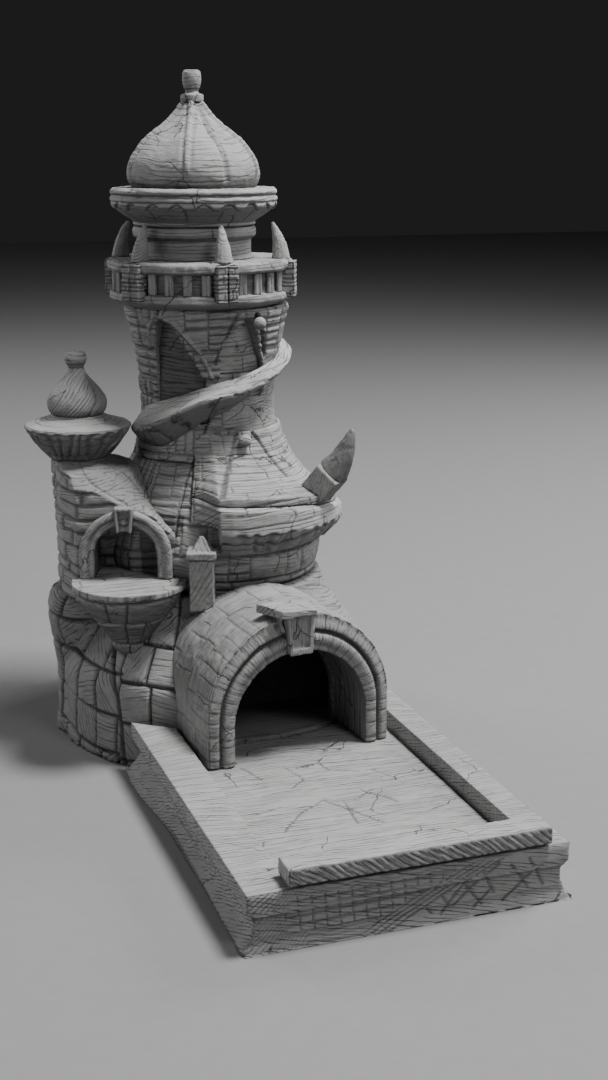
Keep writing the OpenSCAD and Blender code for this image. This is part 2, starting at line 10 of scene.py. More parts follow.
import bmesh
import bpy
import numpy as np
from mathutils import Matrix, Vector


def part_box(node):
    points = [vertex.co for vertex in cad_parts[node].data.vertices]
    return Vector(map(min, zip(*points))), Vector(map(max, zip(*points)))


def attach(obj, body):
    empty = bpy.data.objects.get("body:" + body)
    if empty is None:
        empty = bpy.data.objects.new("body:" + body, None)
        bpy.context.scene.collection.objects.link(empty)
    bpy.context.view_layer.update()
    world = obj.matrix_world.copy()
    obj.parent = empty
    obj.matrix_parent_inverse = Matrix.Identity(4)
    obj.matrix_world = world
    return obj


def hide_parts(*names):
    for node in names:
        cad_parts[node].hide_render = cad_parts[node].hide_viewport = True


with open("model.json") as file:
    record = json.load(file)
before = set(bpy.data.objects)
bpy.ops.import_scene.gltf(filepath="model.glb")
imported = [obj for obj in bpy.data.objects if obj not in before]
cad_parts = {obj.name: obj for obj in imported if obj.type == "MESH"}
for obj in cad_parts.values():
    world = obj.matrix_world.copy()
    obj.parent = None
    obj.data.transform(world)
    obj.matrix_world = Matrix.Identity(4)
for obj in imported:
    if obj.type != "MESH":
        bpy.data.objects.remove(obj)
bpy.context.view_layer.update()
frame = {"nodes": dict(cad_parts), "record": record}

BODY_OF = {n: b for b, names in frame["record"]["behaviour"]["bodies"].items() for n in names}
COARSE = 1.0  # every voxel size is scaled by this
MM = 1000  # millimetres in a metre


def middle(node):
    """Middle of a CAD node's box, in millimetres."""
    low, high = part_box(node)
    return (np.array(low) + np.array(high)) / 2 * MM


# ---- repeatable noise --------------------------------------------------------------------------------
def rnd(seed, *cells):
    """One repeatable number from 0 to 1 for each set of whole-number cells."""
    h = np.full(np.shape(cells[0]), (seed * 374761393 + 97) % 4294967296, np.uint32)
    for c in cells:
        h = h ^ (np.asarray(c).astype(np.int64).astype(np.uint32) * np.uint32(668265263))
        h = (h ^ (h >> np.uint32(13))) * np.uint32(1274126177)
        h = h ^ (h >> np.uint32(16))
    return h / 4294967295.0


def noise(p, size, seed):
    """Smooth noise from -1 to 1 with features of about that size."""
    q = p / size
    whole = np.floor(q)
    t = q - whole
    t = t * t * (3 - 2 * t)
    total = 0
    for corner in range(8):
        o = [corner & 1, corner >> 1 & 1, corner >> 2]
        weight = 1
        for k in range(3):
            weight = weight * (t[:, k] if o[k] else 1 - t[:, k])
        total = total + weight * rnd(seed, *[whole[:, k] + o[k] for k in range(3)])
    return total * 2 - 1


def rough(p, size, seed, layers=3):
    """Noise with finer layers on top."""
    return sum(noise(p, size / 2**k, seed + k) / 2**k for k in range(layers))


def ramp(x, low, high):
    """0 below low, 1 above high, and smooth between."""
    t = np.clip((x - low) / (high - low), 0, 1)
    return t * t * (3 - 2 * t)


# ---- patterns ----------------------------------------------------------------------------------------
def cells(x, step, seed, row):
    """Uneven cells along x: number of the cell, distance to its nearest edge, distance from its middle."""
    q = x / step
    i = np.floor(q)

    def edge(k):
        return k + 0.5 * (rnd(seed, k, row) - 0.5)

    i = np.where(q < edge(i), i - 1, i)
    i = np.where(q >= edge(i + 1), i + 1, i)
    low, high = edge(i), edge(i + 1)
    return i, np.minimum(q - low, high - q) * step, (q - (low + high) / 2) * step


def to_rows(x, step):
    """Distance to the nearest of evenly spaced lines."""
    return abs(x / step % 1 - 0.5) * step


def groove(distance, half, soft=0.6):
    """1 in a groove of that half width about a line, falling to 0 over its soft edge."""
    return 1 - ramp(distance, half * 0.4, half + soft)


def courses(v, edges):
    """Courses between the given heights, in the form that cells() gives."""
    edges = np.array([-1e3, *edges, 1e3])
    i = np.clip(np.searchsorted(edges, v) - 1, 0, len(edges) - 2)
    return i.astype(float), np.minimum(v - edges[i], edges[i + 1] - v), v - (edges[i] + edges[i + 1]) / 2


def strips(along, size, count):
    """Equal strips across a block: number of the strip and distance to its nearest edge."""
    t = np.clip(along / size + 0.5, 0, 0.999) * count
    return np.floor(t), np.minimum(t % 1, 1 - t % 1) * size / count


def masonry(u, v, length, height, seed, weave=0.0, edges=None):
    """Bonded blocks: distance to the nearest joint, the block's own random number, place in the block.
    weave is how much of the wall has its blocks split into upright or flat bricks."""
    rows = cells(v, height, seed, np.zeros(len(v))) if edges is None else courses(v, edges)
    row, across, bv = rows
    col, along, bu = cells(u + rnd(seed + 1, row) * length * 3, length, seed + 2, row)
    joint = np.minimum(across, along)
    kind = rnd(seed + 3, row, col)
    upright, in_upright = strips(bu, length, 3)
    flat, in_flat = strips(bv, height, 3)
    joint = np.where(kind < weave * 0.3, np.minimum(joint, in_upright), joint)
    joint = np.where((kind >= weave * 0.3) & (kind < weave), np.minimum(joint, in_flat), joint)
    part = np.where(kind < weave * 0.3, upright, np.where(kind < weave, flat + 4, 8))
    return joint, rnd(seed + 4, row, col, part), bu, bv


def to_line(x, y, corners):
    """Distance to a line through the corners."""
    best = np.full(len(x), 1e9)
    for (x0, y0), (x1, y1) in zip(corners, corners[1:]):
        dx, dy = x1 - x0, y1 - y0
        t = np.clip(((x - x0) * dx + (y - y0) * dy) / (dx * dx + dy * dy), 0, 1)
        best = np.minimum(best, np.hypot(x - x0 - t * dx, y - y0 - t * dy))
    return best


def around(p, axis):
    """Azimuth in radians (0 at the front, positive to the right) and radius about an upright axis."""
    dx, dy = p[:, 0] - axis[0], p[:, 1] - axis[1]
    return np.arctan2(dx, -dy), np.hypot(dx, dy)


def facing_out(p, n, axis):
    """How far the surface faces away from the axis."""
    dx, dy = p[:, 0] - axis[0], p[:, 1] - axis[1]
    r = np.maximum(np.hypot(dx, dy), 1e-6)
    return (n[:, 0] * dx + n[:, 1] * dy) / r


def outside(p, n, axis):
    """1 on surfaces that face away from the axis, 0 on the others."""
    return ramp(facing_out(p, n, axis), 0.05, 0.4)


def polar_line(p, axis, ref, corners):
    """Distance to a line drawn on a round wall of radius ref, its corners given as azimuth and height."""
    az, _ = around(p, axis)
    return to_line(az * ref, p[:, 2], [(math.radians(a) * ref, z) for a, z in corners])


def polar_groove(p, axis, ref, corners, half, soft):
    """Groove along a line drawn on a round wall."""
    return groove(polar_line(p, axis, ref, corners), half, soft)


# ---- carving -----------------------------------------------------------------------------------------
def read_mesh(mesh):
    """Points in millimetres and normals of a mesh."""
    p = np.empty(len(mesh.vertices) * 3, np.float32)
    mesh.vertices.foreach_get("co", p)
    n = np.empty(len(p), np.float32)
    mesh.vertex_normals.foreach_get("vector", n)
    return p.reshape(-1, 3).astype(float) * MM, n.reshape(-1, 3).astype(float)


def refine(mesh, wanted):
    """Split into four the faces whose corners are all wanted."""
    grid = bmesh.new()
    grid.from_mesh(mesh)
    grid.verts.ensure_lookup_table()
    edges = [e for e in grid.edges if wanted[e.verts[0].index] and wanted[e.verts[1].index]]
    bmesh.ops.subdivide_edges(grid, edges=edges, cuts=1, use_grid_fill=True)
    grid.to_mesh(mesh)
    grid.free()


def carve(node, voxel, shape, material, fine=None):
    """Remesh a CAD node finely and carve it. shape(p, n) gives how far each point moves along its normal,
    its grain coordinates (x along the grain) and its shade, which scales the colour: 1 is bare, 0 is dark
    and above 1 is paler. It carries dark joints and cracks, and in places painted shade and painted light.
    fine(p, n) picks the points between which the mesh is twice as fine."""
    piece = bpy.data.objects.new(node + ".carved", frame["nodes"][node].data.copy())
    bpy.context.scene.collection.objects.link(piece)
    remesh = piece.modifiers.new("voxels", "REMESH")
    remesh.mode = "VOXEL"
    remesh.voxel_size = voxel * COARSE / MM
    mesh = bpy.data.meshes.new_from_object(piece.evaluated_get(bpy.context.evaluated_depsgraph_get()))
    piece.modifiers.clear()
    piece.data = mesh
    if fine is not None:
        refine(mesh, fine(*read_mesh(mesh)))
    p, n = read_mesh(mesh)
    move, grain, shade = shape(p, n)
    if np.ndim(move) == 1:
        move = n * move[:, None]
    place = p + move
    place[:, 2] = np.maximum(place[:, 2], 0)  # nothing reaches below the ground
    mesh.vertices.foreach_set("co", (place / MM).astype(np.float32).ravel())
    grain_data = mesh.attributes.new("grain", "FLOAT_VECTOR", "POINT").data
    grain_data.foreach_set("vector", (grain / MM).astype(np.float32).ravel())
    shade_data = mesh.attributes.new("shade", "FLOAT", "POINT").data
    shade_data.foreach_set("value", shade.astype(np.float32))
    mesh.materials.clear()
    mesh.materials.append(material)
    mesh.shade_smooth()
    mesh.update()
    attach(piece, BODY_OF[node])
    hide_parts(node)
    print("carved", node, len(mesh.polygons))


def grain_of(u, v, w):
    """Grain coordinates of the points: u runs along the grain, v and w across it."""
    return np.stack([u, v, w], axis=1)


# ---- finishes ----------------------------------------------------------------------------------------
def finish_material(name, tone, lines, line_strength, crack_size, scratch, from_object=False):
    """Matt grey print. tone is how pale it is, lines the spacing of the grain and crack_size that of the
    cracks, line_strength how dark the lines are, scratch how deep they look. from_object uses the object's
    own coordinates, for CAD pieces that aren't carved. Scales in here are in lines per metre."""
    material = bpy.data.materials.new(name)
    material.use_nodes = True
    tree = material.node_tree
    tree.nodes.clear()

    def node(kind, **inputs):
        """New node with its inputs set or linked: by name, or by number as i0, i1."""
        made = tree.nodes.new(kind)
        for key, value in inputs.items():
            target = made.inputs[int(key[1:])] if key[0] == "i" and key[1:].isdigit() else made.inputs[key]
            if isinstance(value, bpy.types.NodeSocket):
                tree.links.new(value, target)
            else:
                target.default_value = value
        return made

    def calc(operation, a, b=0.0, c=0.0):
        made = node("ShaderNodeMath", i0=a, i1=b, i2=c)
        made.operation = operation
        return made.outputs[0]

    def stretched(vector, x, y, z):
        made = node("ShaderNodeVectorMath", i0=vector, i1=(x, y, z))
        made.operation = "MULTIPLY"
        return made.outputs[0]

    def noise_of(vector, scale, detail, roughness=0.55):
        return node(
            "ShaderNodeTexNoise", Vector=vector, Scale=scale, Detail=detail, Roughness=roughness
        ).outputs["Fac"]

    def between(value, low, high, a=0.0, b=1.0):
        made = node("ShaderNodeMapRange", Value=value)
        made.interpolation_type = "SMOOTHSTEP"
        for key, v in (("From Min", low), ("From Max", high), ("To Min", a), ("To Max", b)):
            made.inputs[key].default_value = v
        return made.outputs["Result"]

    place = node("ShaderNodeTexCoord").outputs["Object"]
    if from_object:
        grain, shade = place, 1.0
    else:
        made = node("ShaderNodeAttribute")
        made.attribute_name = "grain"
        grain = made.outputs["Vector"]
        made = node("ShaderNodeAttribute")
        made.attribute_name = "shade"
        shade = made.outputs["Fac"]
    # Grain: wavy lines along x
    parts = node("ShaderNodeSeparateXYZ", i0=grain).outputs
    wave = noise_of(stretched(grain, 24, 95, 95), 1.0, 2.0)
    shiver = noise_of(stretched(grain, 300, 900, 900), 1.0, 2.0)
    phase = calc("ADD", calc("MULTIPLY", parts[1], MM / lines), calc("MULTIPLY", wave, 3.4))
    phase = calc("ADD", phase, calc("MULTIPLY", shiver, 0.5))
    saw = calc("ABSOLUTE", calc("SUBTRACT", calc("FRACT", phase), 0.5))
    weight = noise_of(stretched(grain, 60, 380, 380), 1.0, 1.0)
    line = calc("MULTIPLY", between(saw, 0.0, 0.2, 1.0, 0.0), between(weight, 0.36, 0.58))
    fibre = noise_of(stretched(grain, 260, 2600, 2600), 1.0, 3.0)
    grit = noise_of(place, 2600, 3.0)
    patch = noise_of(place, 90, 3.0)
    # Cracks: thin warped edges, only in places
    wander = node("ShaderNodeTexNoise", Vector=place, Scale=120, Detail=4.0).outputs["Color"]
    warp = node("ShaderNodeVectorMath", i0=place, i1=stretched(wander, 0.008, 0.008, 0.008))
    warp.operation = "ADD"
    edges = node("ShaderNodeTexVoronoi", Vector=warp.outputs[0], Scale=MM / crack_size)
    edges.feature = "DISTANCE_TO_EDGE"
    gate = between(noise_of(place, 1500 / crack_size, 2.0), 0.49, 0.58)
    thin = between(edges.outputs["Distance"], 0.03 / crack_size, 0.22 / crack_size, 1.0, 0.0)
    crack = calc("MULTIPLY", thin, gate)
    # Tone
    value = calc("ADD", tone * 0.86, calc("MULTIPLY", patch, tone * 0.28))
    value = calc("MULTIPLY", value, calc("SUBTRACT", 1.0, calc("MULTIPLY", line, line_strength)))
    value = calc("MULTIPLY", value, between(fibre, 0.3, 0.7, 0.88, 1.08))
    value = calc("MULTIPLY", value, between(grit, 0.3, 0.7, 0.93, 1.06))
    value = calc("MULTIPLY", value, calc("SUBTRACT", 1.0, calc("MULTIPLY", crack, 0.7)))
    # The shade attribute scales the colour: dark joints and cracks, and in places painted shade and painted
    # light
    value = calc("MULTIPLY", value, calc("ADD", 0.22, calc("MULTIPLY", shade, 0.78)))
    # Painted shade: surfaces that look down are darkened, standing in for the shadow under things
    normal = node("ShaderNodeNewGeometry").outputs["Normal"]
    facing_up = node("ShaderNodeSeparateXYZ", i0=normal).outputs[2]
    value = calc("MULTIPLY", value, between(facing_up, -0.7, 0.15, 0.34, 1.0))
    colour = node("ShaderNodeCombineColor", i0=value, i1=value, i2=calc("MULTIPLY", value, 0.99))
    # Relief
    height = calc("ADD", calc("MULTIPLY", line, -0.55 * scratch), calc("MULTIPLY", fibre, 0.75 * scratch))
    height = calc("ADD", height, calc("MULTIPLY", grit, 0.3))
    height = calc("ADD", height, calc("MULTIPLY", crack, -1.6))
    bump = node("ShaderNodeBump", Strength=0.9, Distance=0.00028, Height=height)
    surface = node(
        "ShaderNodeBsdfPrincipled", Roughness=between(grit, 0.3, 0.7, 0.66, 0.82), Normal=bump.outputs[0]
    )
    tree.links.new(colour.outputs[0], surface.inputs["Base Color"])
    surface.inputs["Specular IOR Level"].default_value = 0.4
    out = tree.nodes.new("ShaderNodeOutputMaterial")
    tree.links.new(surface.outputs[0], out.inputs[0])
    return material


STONE = finish_material(
    "stone_print", tone=0.40, lines=1.25, line_strength=0.5, crack_size=26, scratch=1.1
)
ROUGH_STONE = finish_material(
    "rough_stone_print", tone=0.38, lines=1.6, line_strength=0.55, crack_size=30, scratch=1.4
)
PLANK = finish_material(
    "plank_print", tone=0.44, lines=1.5, line_strength=0.65, crack_size=24, scratch=1.1
)
TIMBER = finish_material(
    "timber_print", tone=0.44, lines=1.4, line_strength=0.7, crack_size=34, scratch=1.2
)
DOME = finish_material("dome_print", tone=0.43, lines=1.7, line_strength=0.5, crack_size=22, scratch=1.0)
HORN = finish_material("horn_print", tone=0.44, lines=1.0, line_strength=0.4, crack_size=30, scratch=1.2)
INSIDE = finish_material(
    "inside_print", tone=0.36, lines=1.4, line_strength=0.4, crack_size=26, scratch=1.0, from_object=True
)


# ---- stonework ---------------------------------------------------------------------------------------
DRUM = middle("drum_shell")
SHAFT = middle("shaft_shell")
NECK = middle("neck_collar")
TURRET = middle("turret_dome")
DRUM_R = 60
# The drum's box is widened on the left by the turret's swelling, so its axis comes from the right side
DRUM[0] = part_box("drum_shell")[1][0] * MM - DRUM_R
DOOR_TURN = 6  # azimuth that the doorway faces
SPRING = 27.0  # height at which the doorway's arch springs

# Lines drawn on the round walls, as azimuth and height
SWELLING_GROOVE = [(-66, 46), (-60, 39), (-53, 25), (-51, 8), (-50, 0)]
TALL_CRACK = [(-12, 127), (-19, 116), (-25, 109), (-31, 99.6), (-32.8, 90), (-34, 79)]
WINDOW_CORD = [(-64, 146), (-60, 153), (-53, 158.6), (-40, 156.2), (-21, 145.2), (-12, 136)]
WINDOW_GROOVE = [(6.5, 159), (-0.4, 151.6), (-9.6, 141)]
WINDOW_SLOT = [(21, 158), (29, 151), (36, 143)]
STEM_CRACKS = [[(-70, 100), (-35, 95), (0, 84), (20, 78)], [(10, 103), (18, 95), (40, 84)]]
PLASTER_CRACKS = [[(-12, 106), (0, 100), (22, 93), (30, 88)], [(30, 106), (38, 100), (41, 95)],
                  [(60, 104), (52, 96)]]


def outer(axis, least=0.15):
    """Picks the points whose surface faces away from an axis."""
    return lambda p, n: facing_out(p, n, axis) > least


def wall(axis, ref, length, height, seed, width=0.8, depth=0.6, weave=0.0, proud=0.3, turn=0.3, edges=None,
         slump=None, extra=None):
    """Shape for a round wall of bonded blocks with sunk joints. ref is the radius at which the blocks have
    their length, width and depth are the joint's, proud is how unevenly the blocks stand, and turn how far
    the scratches on each block may lie off the level. extra changes what the wall gives."""

    def shape(p, n):
        az, r = around(p, axis)
        u = az * ref + noise(p, 9, seed + 20) * 0.5
        v = p[:, 2] + noise(p, 13, seed + 21) * 0.7
        if slump is not None:
            v = v + slump(np.degrees(az))
        joint, own, bu, bv = masonry(u, v, length, height, seed, weave, edges)
        out = outside(p, n, axis)
        sunk = 1 - ramp(joint, 0.2 * width, width)
        pillow = ramp(joint, 0, 2.2 * width)
        face = (own - 0.5) * proud + 0.25 * pillow + 0.16 * rough(p, 2.6, seed + 22)
        move = out * ((1 - sunk) * face - sunk * depth)
        shade = 1 - out * sunk * min(0.75, depth * 0.8)
        way = (own - 0.5) * 2 * turn
        grain = grain_of(
            bu * np.cos(way) + bv * np.sin(way), bv * np.cos(way) - bu * np.sin(way), r + own * 300
        )
        if extra is not None:
            return extra(p, n, az, r, move, grain, shade)
        return move, grain, shade

    return shape


def chunk(seed, length=5.0, height=4.0, width=0.7, depth=0.5, amount=0.2):
    """Shape for a small lump of masonry: blocks are laid out over the face that each point is on."""

    def shape(p, n):
        flat = abs(n[:, 1]) > abs(n[:, 0])
        u = np.where(flat, p[:, 0], p[:, 1]) + noise(p, 5, seed) * 0.4
        joint, own, _, _ = masonry(u, p[:, 2] + noise(p, 6, seed + 1) * 0.4, length, height, seed)
        side = ramp(1 - abs(n[:, 2]), 0.1, 0.4)
        sunk = (1 - ramp(joint, 0.15 * width, width)) * side
        move = -sunk * depth + (1 - sunk) * ((own - 0.5) * 0.25 + amount * rough(p, 2.2, seed + 3))
        return move, grain_of(u, p[:, 2], own * 300), 1 - 0.7 * sunk

    return shape


def plain(seed, amount=0.12, along=None, axis=None, extra=None):
    """Shape for a smooth moulded piece. Its grain runs along a direction, or level round an axis."""

    def shape(p, n):
        if along is None:
            az, r = around(p, p.mean(axis=0) if axis is None else axis)
            grain = grain_of(az * max(r.mean(), 4), p[:, 2] + (r - r.mean()) * 0.7, r)
        else:
            a = np.array(along, float)
            a /= np.linalg.norm(a)
            b = np.cross(a, (0, 0, 1.0) if abs(a[2]) < 0.9 else (0, 1.0, 0))
            b /= np.linalg.norm(b)
            c = np.cross(a, b)
            grain = grain_of(p @ a, p @ b + p @ c * 0.8, p @ c)
        move, shade = amount * rough(p, 2.4, seed), np.ones(len(p))
        if extra is not None:
            return extra(p, n, move, grain, shade)
        return move, grain, shade

    return shape


def wavy_rows(p):
    """Height field whose level lines are the timber's wavy rows, front to back."""
    x, y = p[:, 0], p[:, 1]
    return y + noise(p, 22, 171) * 2.2 + 0.04 * x + 0.004 * (x - 10) ** 2 * ramp(y, -110, -60)


def wavy_line(p):
    """Dark lines along some of the wavy rows."""
    return groove(to_rows(wavy_rows(p), 3.1), 0.05, 0.35) * ramp(noise(p, 9, 172), -0.4, 0.2)


def drum_slump(deg):
    """Courses of the turret's swelling sag a little towards the groove beside the porch."""
    return ramp(deg, -112, -60) * (deg < -52) * 4 + (deg >= -52) * 6


def drum_extra(p, n, az, r, move, grain, shade):
    """The drum's smooth shoulder, the groove beside the porch, painted shade inside the drum, and painted
    light on the floor inside the doorway.
    """
    deg, z = np.degrees(az), p[:, 2]
    out = outside(p, n, DRUM)
    # Smooth planked shoulder on the right
    smooth = ramp(deg, 12, 24) * ramp(z, 20, 30)
    rising = z + 0.16 * deg
    line = 1 - ramp(to_rows(rising + noise(p, 16, 51) * 2, 7.5), 0.1, 0.7)
    move = move * (1 - smooth) + smooth * out * (-0.3 * line + 0.16 * rough(p, 4, 52))
    shade = shade * (1 - smooth) + smooth * (1 - 0.4 * line * out)
    grain = np.where(smooth[:, None] > 0.5, grain_of(az * 45, rising, r), grain)
    # Deep upright groove between the turret's swelling and the front
    cut = polar_groove(p, DRUM, 57, SWELLING_GROOVE, 0.5, 0.9) * out
    # Painted shade inside, and painted light on the doorway's floor, of the same wavy grain as the tray
    inside = (r < DRUM_R - 3) & (facing_out(p, n, DRUM) < 0.1) & (z > 5)
    tread = inside & (n[:, 2] > 0.7) & (z < 16)
    grain = np.where(tread[:, None], grain_of(p[:, 0], wavy_rows(p), z), grain)
    shade = np.where(tread, 1.5 - 0.4 * wavy_line(p), np.where(inside, 0.5, shade))
    # No relief where the tray's rear edge lies against the drum
    foot = (abs(deg - DOOR_TURN) < 27) & (z < 15)
    return np.where(foot, 0, move * (1 - cut) - 1.6 * cut), grain, np.where(foot, 1, shade * (1 - 0.75 * cut))


def tall_crack(p, ref):
    """Crack that runs down from the shaft over the waist."""
    return groove(polar_line(p, SHAFT, ref, TALL_CRACK) + noise(p, 3, 55) * 0.3, 0.12, 0.5)


def waist_extra(p, n, az, r, move, grain, shade):
    """The tall crack, and painted shade on the wall at the back of the niche."""
    cut = tall_crack(p, 36) * outside(p, n, SHAFT)
    deg, z = np.degrees(az), p[:, 2]
    mouth = (deg > -75) & (deg < -30) & (z > 62) & (z < 88) & (r < 39.8)
    return move - 0.7 * cut, grain, shade * (1 - 0.7 * cut) * np.where(mouth, 0.3, 1)


def shaft_extra(p, n, az, r, move, grain, shade):
    """Cracks, and the carving round the two windows."""
    out = outside(p, n, SHAFT) * (r > 23.9)
    # The right side below the winding ledge is smooth, with level lines only
    smooth = ramp(np.degrees(az), 2, 10) * ramp(146 - p[:, 2], 0, 6)
    move = move * (1 - smooth) + smooth * out * 0.15 * rough(p, 4, 56)
    shade = shade * (1 - smooth) + smooth
    # Raised cord over the left window, a groove and a slot round the right one
    cord = polar_groove(p, SHAFT, 29, WINDOW_CORD, 0.5, 0.5)
    cut = np.maximum(tall_crack(p, 27), polar_groove(p, SHAFT, 29, WINDOW_GROOVE, 0.45, 0.7))
    slot = polar_groove(p, SHAFT, 29, WINDOW_SLOT, 0.8, 0.6)
    move = move * (1 - cord) + out * (1.1 * cord - 1.0 * cut - 1.5 * slot)
    shade = np.maximum(shade, cord) * (1 - out * np.maximum(0.6 * cut, 0.7 * slot))
    return move, grain, shade


def porch(p, n):
    """Shape for the porch. x and y are its own sideways and backward directions, rho and arc are the radius
    and the length along the arch."""
    dx, dy = p[:, 0] - DRUM[0], p[:, 1] - DRUM[1]
    turn = math.radians(DOOR_TURN)
    cos, sin = math.cos(turn), math.sin(turn)
    x, y, z = dx * cos + dy * sin, dy * cos - dx * sin, p[:, 2]
    nx, ny = n[:, 0] * cos + n[:, 1] * sin, n[:, 1] * cos - n[:, 0] * sin
    rise = np.maximum(z - SPRING, 0)
    rho = np.hypot(x, rise)
    over_arch = np.arctan2(abs(x), np.maximum(rise, 1e-6)) * 30
    arc = np.where(z > SPRING, over_arch, 47.1 + SPRING - z) * np.sign(x)
    front = ramp(-ny, 0.5, 0.8)
    away = (nx * x + n[:, 2] * rise) / np.maximum(rho, 1e-6)
    top = (1 - front) * ramp(away, 0.2, 0.6)
    under = (1 - front) * ramp(-away, 0.2, 0.6)
    # Face: an outer band of voussoirs, a groove and an inner roll
    hollow = groove(abs(rho + noise(p, 6, 71) * 0.25 - 29.9), 0.5, 0.5)
    roll = np.clip(1 - ((rho - 27.3) / 2.3) ** 2, 0, 1)
    _, step_out, _ = cells(arc + noise(p, 7, 72) * 0.5, 4.2, 73, np.zeros(len(p)))
    _, step_in, _ = cells(arc * 0.92 + noise(p, 7, 74) * 0.4, 3.9, 75, np.zeros(len(p)))
    band = rho > 30
    seam = 1 - ramp(np.where(band, step_out, step_in), 0.05, 0.4)
    face = -1.4 * hollow + (1 - hollow) * (np.where(band, 0.3, 0.2 + 0.9 * roll) - 0.22 * seam)
    # Flank: the voussoirs' joints run a little way back over broad plain stone
    joint, own, _, _ = masonry(arc + noise(p, 8, 76) * 0.6, y + noise(p, 8, 77) * 0.8, 11, 14, 78)
    reach = ramp(-y - 62 - 5 * noise(p, 5, 81), 0, 3)
    sunk = np.maximum((1 - ramp(joint, 0.05, 0.4)) * (1 - reach), reach * (1 - ramp(step_out, 0.05, 0.35)))
    flank = -0.2 * sunk + 0.25 * rough(p, 3.5, 79)
    # Tunnel: fine curved lines, and painted shade over all of it
    rib = 1 - ramp(to_rows(y + noise(p, 12, 80) * 1.4, 4.2), 0.1, 0.6)
    # The front edge is rounded off
    shoulder = ramp(rho, 31.5, 34.5) * ramp(-y, 76.2, 78)
    move = front * (face + 0.12 * rough(p, 2, 70)) + top * flank - under * 0.45 * rib - 0.9 * shoulder
    # Painted shade: the tunnel is darkened, more along its curved lines; the rest of the darkening is in
    # grooves and joints
    shade = 1 - front * np.maximum(hollow * 0.8, seam * 0.6) - top * sunk * 0.4 - under * (0.45 + rib * 0.3)
    on_front = front > 0.5
    grain = grain_of(
        np.where(on_front, rho, arc), np.where(on_front, arc, y) + own * 20 * top, rho + own * 200 * top
    )
    return move, grain, shade


def stem_extra(p, n, az, r, move, grain, shade):
    """The stem's right side is smooth plaster with a few curved cracks."""
    deg = np.degrees(az)
    smooth = ramp(deg, -62, -52) * ramp(110 - deg, 0, 20)
    left, right = STEM_CRACKS
    cut = polar_groove(p, TURRET, 10, left, 0.12, 0.5)
    cut = np.maximum(cut, polar_groove(p, TURRET, 10, right, 0.1, 0.4)) * outside(p, n, TURRET)
    move = move * (1 - smooth) + smooth * 0.12 * rough(p, 3, 64)
    return move - 0.5 * cut, grain, (shade * (1 - smooth) + smooth) * (1 - 0.6 * cut)


def block_shape(p, n):
    """Masonry round the niche: brick courses low down, smooth plaster with cracks on the slope above, and
    painted shade on faces turned in towards the niche.
    """
    axis = middle("niche_block") + [8, 4, 0]
    move, grain, shade = wall(axis, 18, length=12, height=5.1, seed=65, proud=0.5)(p, n)
    slope = ramp(n[:, 2], 0.15, 0.4) * ramp(p[:, 2], 80, 84)
    inside = ramp(facing_out(p, n, axis), -0.1, 0.1)
    cut = np.max([polar_groove(p, TURRET, 22, line, 0.08, 0.4) for line in PLASTER_CRACKS], axis=0) * slope
    move = move * (1 - slope) + slope * 0.3 * rough(p, 4, 66) - 0.4 * cut
    # Painted shade on the faces turned in towards the niche
    return move, grain, (shade * (1 - slope) + slope) * (1 - 0.6 * cut) * (0.35 + 0.65 * inside)


drum_wall = wall(DRUM, 57, length=12.5, height=14, seed=11, width=0.85, depth=1.1, proud=0.7, turn=1.2,
                 edges=[7.5, 21.5, 37, 49], slump=drum_slump, extra=drum_extra)
waist_wall = wall(SHAFT, 38, length=11, height=10.5, seed=31, width=0.5, depth=0.35, weave=0.7, turn=0.2,
                  extra=waist_extra)
shaft_wall = wall(SHAFT, 27, length=10, height=9, seed=41, width=0.5, depth=0.35, weave=0.7, turn=0.15,
                  extra=shaft_extra)
stem_wall = wall(TURRET, 9.5, length=9, height=5, seed=61, extra=stem_extra)
corbel_wall = wall(middle("niche_ledge"), 17, length=13, height=9, seed=67, width=0.7, proud=0.5, turn=0.8)
carve("drum_shell", 1.1, drum_wall, ROUGH_STONE, fine=outer(DRUM))
carve("doorway_arch", 0.5, porch, STONE)
carve("waist_shell", 0.95, waist_wall, STONE, fine=outer(SHAFT))
carve("shaft_shell", 0.85, shaft_wall, STONE, fine=outer(SHAFT))
carve("turret_stem", 0.42, stem_wall, STONE)
carve("niche_block", 0.5, block_shape, STONE)
carve("ledge_corbel", 0.5, corbel_wall, ROUGH_STONE)
carve("corbel_post", 0.38, plain(81, 0.2, (0.3, 0.1, 1)), STONE)
carve("horn_socket", 0.36, plain(82, 0.2, (0.4, 0.3, 0.9)), STONE)
carve("doorway_keystone", 0.36, plain(83, 0.12, (0, 0, 1)), STONE)
carve("niche_surround", 0.32, plain(84, 0.12), STONE)
carve("niche_keystone", 0.3, plain(85, 0.08, (0, 0, 1)), STONE)


# ---- planks ------------------------------------------------------------------------------------------
SKIRT_LEFT = [(7, 116), (2, 110.5), (-5.6, 103.6), (-11.5, 96)]
SKIRT_RIGHT = [(20, 115.5), (25.6, 112), (30, 106), (33.5, 100)]
BAND_CRACK = [(20, 92), (22, 88), (19, 84), (21, 79)]
LEDGE_CRACK = [(-8, 130), (-11, 127), (-15, 122), (-18, 117)]


